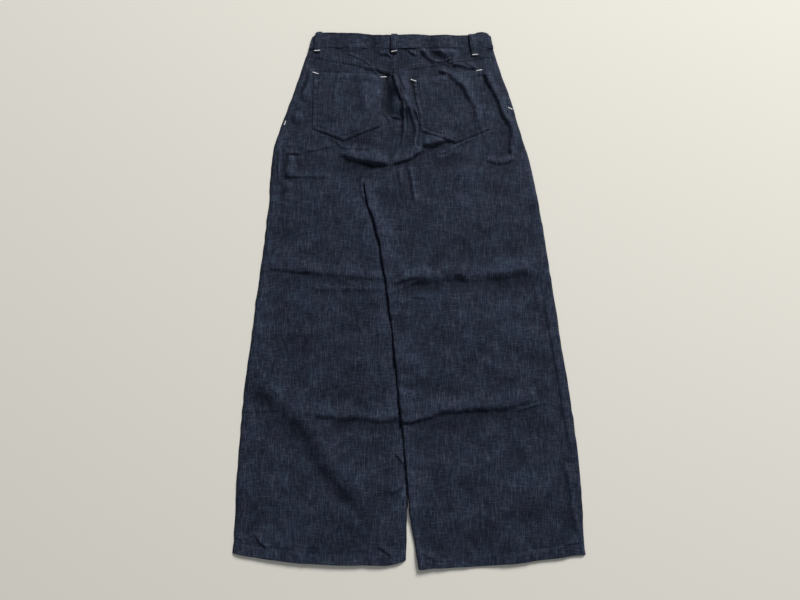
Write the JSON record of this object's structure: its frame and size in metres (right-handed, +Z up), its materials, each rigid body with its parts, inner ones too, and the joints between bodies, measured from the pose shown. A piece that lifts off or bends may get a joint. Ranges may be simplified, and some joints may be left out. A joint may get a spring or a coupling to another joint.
{
  "type": "baggy jeans",
  "caption": "Baggy wide-leg jeans in dark indigo denim, laid flat with the back up, with yoke, patch pockets, waistband and belt loops.",
  "frame": {"origin": "middle of the laid garment's box, on the floor under it", "axes": "+X to the wearer's right across the garment, +Y from the hems to the waist, +Z up from the floor through the back of the garment"},
  "size_m": [0.6608, 1.0642, 0.0175],
  "materials": {
    "denim": "dark indigo slub denim, one layer, matt with a faint sheen",
    "denim_double": "the same denim, folded and sewn double",
    "button_metal": "dull antique brass"
  },
  "bodies": {
    "root": {"back_left": "denim", "back_right": "denim", "yoke_left": "denim", "yoke_right": "denim", "back_pocket_left": "denim", "back_pocket_right": "denim", "front_left": "denim", "front_right": "denim", "pocket_facing_left": "denim", "pocket_facing_right": "denim", "waistband": "denim_double", "belt_loop_back_left": "denim_double", "belt_loop_back_centre": "denim_double", "belt_loop_back_right": "denim_double", "belt_loop_front_left": "denim_double", "belt_loop_front_right": "denim_double", "waist_button": "button_metal"}
  },
  "joints": []
}
